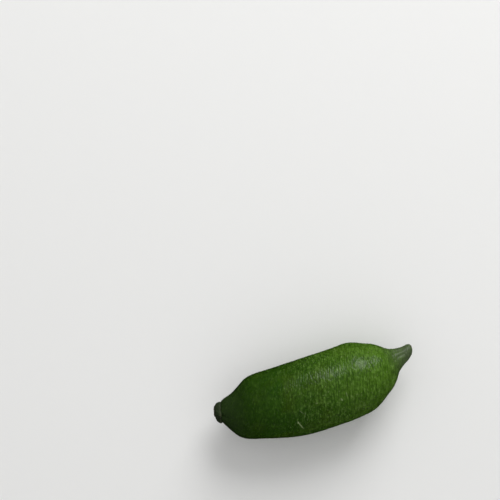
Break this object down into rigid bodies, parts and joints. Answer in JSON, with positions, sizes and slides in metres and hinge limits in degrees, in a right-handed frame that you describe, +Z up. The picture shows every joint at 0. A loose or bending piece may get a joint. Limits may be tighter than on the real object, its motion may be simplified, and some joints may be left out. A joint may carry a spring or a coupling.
{
  "type": "finger lime",
  "caption": "Slender, gently curved dark green citrus fruit with a narrow stylar nipple and a calyx button, lying on its side as picked.",
  "frame": {"origin": "middle of the bounding box on X and Y, on the surface that the fruit rests on", "axes": "+X along the fruit from its stem end to its stylar nipple, +Y towards the hollow side of its curve, +Z up from the surface it rests on"},
  "size_m": [0.0638, 0.0232, 0.0226],
  "materials": {
    "rind": "satin",
    "calyx": "matte"
  },
  "bodies": {
    "root": {"fruit": "rind", "calyx": "calyx"}
  },
  "joints": []
}
